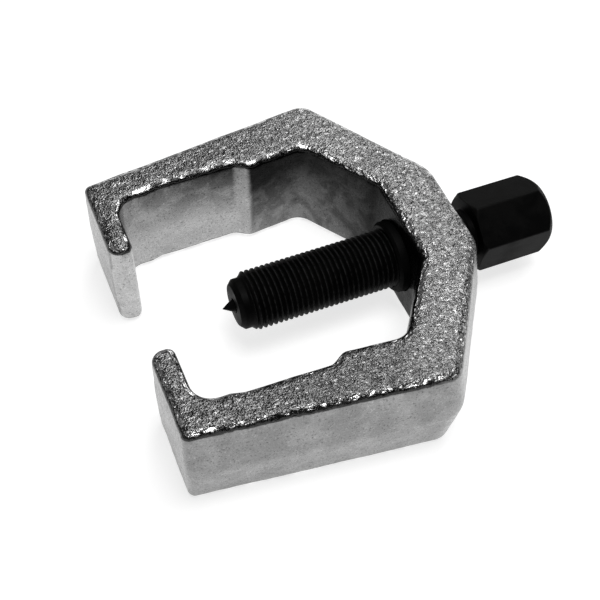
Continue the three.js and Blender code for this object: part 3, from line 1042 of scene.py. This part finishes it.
next_flat = over(tree, reach, calc(tree, "COSINE", minus(tree, sector, from_flat)))
hexagon = calc(tree, "SMOOTH_MIN", this_flat, next_flat, given["Edge Softness"])
milled = calc(tree, "SMOOTH_MIN", blank, hexagon, given["Edge Softness"])
shrink = over(tree, milled, calc(tree, "MAXIMUM", blank, 0.000001))
pulled = place(tree, "ShaderNodeCombineXYZ", {
    "X": at["X"], "Y": times(tree, at["Y"], shrink), "Z": times(tree, at["Z"], shrink),
}).outputs[0]
moved = place(tree, "GeometryNodeSetPosition", {"Geometry": given["Geometry"], "Position": pulled}).outputs[0]
finish_tree(tree, moved, given["Finish"], result["Geometry"])

# %% [markdown]
# ## Forcing screw
# The screw is one piece of steel: a plain nose with a bore for the point, a fine thread, a short neck and
# a tall hexagon head. Its ends are where the CAD screw's box has them, and the other places follow from
# those by the lengths of the nose, the neck and the head.

# %% Screw sizes
nose_x, head_end_x = span_x("forcing_screw")
nose_length, neck_length, head_length = 3.4, 2.0, 21.5
head_x = head_end_x - head_length
thread_x, thread_end_x = nose_x + nose_length, head_x - neck_length
pitch = 25.4 / 18
crest_radius, root_radius = 7.9, 7.1
nose_radius, nose_edge = 6.7, 1.2
across_flats, head_turn = 19.05, math.radians(8)
corner_radius = across_flats / math.sqrt(3)
inner_chamfer, outer_chamfer = 1.2, 2.3
print("thread from", round(thread_x, 2), "to", round(thread_end_x, 2), "and head to", round(head_end_x, 2))

# %% [markdown]
# The point's shank and the ring that holds it are CAD nodes too, so the bore in the nose takes its depth
# and its groove from their boxes, with a little play.

# %% Point and ring sizes
tip_x, shank_end_x = span_x("centre_point")
ring_low, ring_high = span_x("point_ring")
point_radius, bore_radius, play = 1.85, 2.0, 0.3
bore_groove = bore_radius + 0.85
bore_end_x, drill_tip = shank_end_x + play, 1.0
print("bore to", round(bore_end_x, 2), "and ring from", round(ring_low, 2), "to", round(ring_high, 2))

# %% [markdown]
# The plain parts are turned from profiles with rounded corners, on the same crowded circle as the thread, so
# that their rings match it point for point. The head's blank is wider than the hexagon's corners and gets
# its chamfers on the lathe, which is what gives a real hexagon head its curved corners.

# %% Turn the nose and the head
screw_sides, rows_per_turn, crowding = 120, 10, 0.6


def around_screw(sides):
    """Angles of a ring's points, crowded towards the six corners of the head."""
    even = np.arange(sides) * 2 * math.pi / sides
    return even + np.sin(HEXAGON * even) * crowding / HEXAGON + head_turn


nose_rounding, head_rounding = 0.35, 0.3
nose_step, head_step = 0.6, 0.35
blank_spare, outer_spare = 0.4, 0.3
nose_profile = soften([
    (bore_end_x + drill_tip, 0.0), (bore_end_x, bore_radius),
    (ring_high + play, bore_radius), (ring_high + play, bore_groove), (ring_low - play, bore_groove),
    (ring_low - play, bore_radius), (nose_x + 0.2, bore_radius), (nose_x, bore_radius + 0.2),
    (nose_x, nose_radius - nose_edge), (nose_x + nose_edge, nose_radius), (thread_x - 0.5, nose_radius),
    (thread_x, root_radius),
], nose_rounding)
head_profile = soften([
    (thread_end_x, root_radius), (thread_end_x + 0.4, nose_radius), (head_x, nose_radius),
    (head_x, corner_radius - inner_chamfer), (head_x + inner_chamfer, corner_radius + blank_spare),
    (head_end_x - outer_chamfer - outer_spare, corner_radius + outer_spare),
    (head_end_x, corner_radius - outer_chamfer), (head_end_x, 0.0),
], head_rounding)
angles = around_screw(screw_sides)
nose = turned("nose", densify(nose_profile, nose_step), screw_sides, angles)
head = turned("head", densify(head_profile, head_step), screw_sides, angles)
print("open edges of the head before the thread joins on", clean(head))

# %% Mill the head and cut the thread
milling = {"node_group": flats_tree}
head = evaluated(head, "NODES", milling, {
    "Across Flats": across_flats, "Turn": head_turn, "Edge Softness": 0.45, "Finish": black_screw,
})


def cut_thread(start_x, end_x, play_round, finish, **values):
    """A thread between two places, in millimetres. The play makes it wider all round."""
    empty = bpy.data.meshes.new("thread")
    thread = evaluated(empty, "NODES", {"node_group": thread_tree}, {
        "Start": start_x * MM, "Length": (end_x - start_x) * MM, "Pitch": pitch * MM,
        "Root Radius": (root_radius + play_round) * MM, "Crest Radius": (crest_radius + play_round) * MM,
        "Rows per Turn": rows_per_turn, "Sides": screw_sides, "Turn": head_turn, "Crowding": crowding,
        "Finish": finish, **values,
    })
    thread.transform(Matrix.Scale(1 / MM, 4))
    print("thread of", round((end_x - start_x) / pitch, 1), "turns")
    return thread


def joined_mesh(name, parts):
    points, faces = [], []
    for part in parts:
        offset = len(points)
        points += [tuple(v.co) for v in part.vertices]
        faces += [tuple(i + offset for i in face.vertices) for face in part.polygons]
    return new_mesh(name, points, faces)


thread = cut_thread(thread_x, thread_end_x, 0.0, black_screw)
screw_mesh = joined_mesh("screw", [nose, thread, head])
add_turned_piece("forcing_screw_steel", screw_mesh, black_screw, "screw", "forcing_screw")

# %% [markdown]
# ## Thread bush
# A steel sleeve pressed into the yoke's bore carries the thread. It stands a little proud inside the throat,
# where its chamfered face shows as a black ring round the screw. Its thread starts part of a turn away from
# the screw's, so the phase is worked out from the distance between their starts.

# %% Make the thread bush
bush_x, bush_end_x = span_x("thread_bush")
bush_radius, bush_edge, thread_play = 9.7, 0.7, 0.14
bush_crest = crest_radius + thread_play

bush_profile = soften([
    (bush_x, bush_crest), (bush_x, bush_radius - bush_edge), (bush_x + bush_edge, bush_radius),
    (bush_end_x, bush_radius), (bush_end_x, bush_crest),
], 0.25)
sleeve = turned("sleeve", densify(bush_profile, 0.8), screw_sides, angles)
bush_thread = cut_thread(bush_x, bush_end_x, thread_play, black_bush,
                         Inside=True, Phase=(bush_x - thread_x) / pitch)
bush_mesh = joined_mesh("bush", [sleeve, bush_thread])
add_turned_piece("bush_sleeve", bush_mesh, black_bush, "root", "thread_bush")

# %% [markdown]
# ## Centre point
# The hardened point sits loose in the nose, so that it stays still on the ball stud while the screw turns.
# Its cone is ground to 60 degrees with a tip that is blunt by a tenth of a millimetre or so.

# %% Make the centre point
point_sides = 64
tip_flat, tip_flat_radius = 0.12, 0.08
groove_radius = point_radius - 0.7
shank_chamfer = 0.4

point_profile = soften([
    (tip_x + tip_flat, 0.0), (tip_x + tip_flat, tip_flat_radius), (nose_x - 0.05, point_radius),
    (ring_low - play, point_radius), (ring_low - play, groove_radius), (ring_high + play, groove_radius),
    (ring_high + play, point_radius), (shank_end_x - shank_chamfer, point_radius),
    (shank_end_x, point_radius - shank_chamfer), (shank_end_x, 0.0),
], 0.1)
point_mesh = turned("point", densify(point_profile, 0.3), point_sides)
add_turned_piece("hard_centre_point", point_mesh, hard_point, "point", "centre_point",
                 merge=fine_merge_distance)

# %% [markdown]
# ## Floor, light and camera
# The tool lies on a pale floor that glows a little of its own, so that the ground stays an even white. One
# soft box hangs overhead and a weaker one stands behind, and the world round them is nearly black. Nothing
# bright then stands between the camera and the tool at low angles, so edges that roll towards the camera
# turn dark, as bright steel does in a studio.

# %% Floor
floor_half, floor_gap = 30.0, 0.0001
floor_settings = {
    "Base Color": grey(0.55), "Roughness": 0.85, "Specular IOR Level": 0.1,
    "Emission Color": grey(1.0), "Emission Strength": 0.76,
}
floor_material, tree, shader = new_material("pale_floor")
for socket_name, value in floor_settings.items():
    shader.inputs[socket_name].default_value = value
corners = [(-floor_half, -floor_half, 0), (floor_half, -floor_half, 0),
           (floor_half, floor_half, 0), (-floor_half, floor_half, 0)]
floor_mesh = new_mesh("floor", corners, [(0, 1, 2, 3)])
floor_mesh.materials.append(floor_material)
floor = bpy.data.objects.new("floor", floor_mesh)
floor.location.z = -floor_gap
bpy.context.scene.collection.objects.link(floor)
print("floor", 2 * floor_half, "m wide")

# %% Light
world_glow = 0.03
world = bpy.data.worlds.new("studio")
world.use_nodes = True
background = world.node_tree.nodes["Background"]
background.inputs["Color"].default_value = grey(1.0)
background.inputs["Strength"].default_value = world_glow
bpy.context.scene.world = world


def soft_box(name, place_at, aim_at, width, power):
    """A square area light that faces the place it is aimed at. Metres and watts."""
    data = bpy.data.lights.new(name, "AREA")
    data.shape, data.size, data.energy = "SQUARE", width, power
    light = bpy.data.objects.new(name, data)
    light.location = place_at
    light.rotation_euler = (Vector(aim_at) - Vector(place_at)).to_track_quat("-Z", "Y").to_euler()
    bpy.context.scene.collection.objects.link(light)
    print(name, "light of", power, "W")


centre = Vector((hook_face_x + 42.79, -4.54, axis_height)) * MM
soft_box("overhead", centre + Vector((0.05, -0.06, 0.6)), centre, 0.3, 2.1)
soft_box("back fill", centre + Vector((0.41, 0.48, 0.49)), centre, 0.4, 1.5)

# %% [markdown]
# The camera looks down on the tool from the hooks' side, turned a little and tilted a little about its own
# line of sight. Its place is worked out from those three angles and a distance, which is easier to change
# than a bare matrix.

# %% Camera
azimuth, elevation, camera_roll = math.radians(-23.89), math.radians(53.41), math.radians(1.98)
distance, focal_length, sensor_width = 0.2816, 65.79, 36.0

back = Vector((math.sin(azimuth) * math.cos(elevation), -math.cos(azimuth) * math.cos(elevation),
               math.sin(elevation)))
level_right = (-back).cross(Vector((0, 0, 1))).normalized()
level_up = level_right.cross(-back)
right = level_right * math.cos(camera_roll) + level_up * math.sin(camera_roll)
up = level_up * math.cos(camera_roll) - level_right * math.sin(camera_roll)
camera_data = bpy.data.cameras.new("camera")
camera_data.lens, camera_data.sensor_width = focal_length, sensor_width
camera_data.clip_start = 0.01
camera = bpy.data.objects.new("camera", camera_data)
turn = Matrix((right, up, back)).transposed().to_4x4()
camera.matrix_world = Matrix.Translation(centre + back * distance) @ turn
bpy.context.scene.collection.objects.link(camera)
bpy.context.scene.camera = camera
bpy.context.scene.view_settings.view_transform = "Standard"
print("camera", round(distance, 3), "m away")
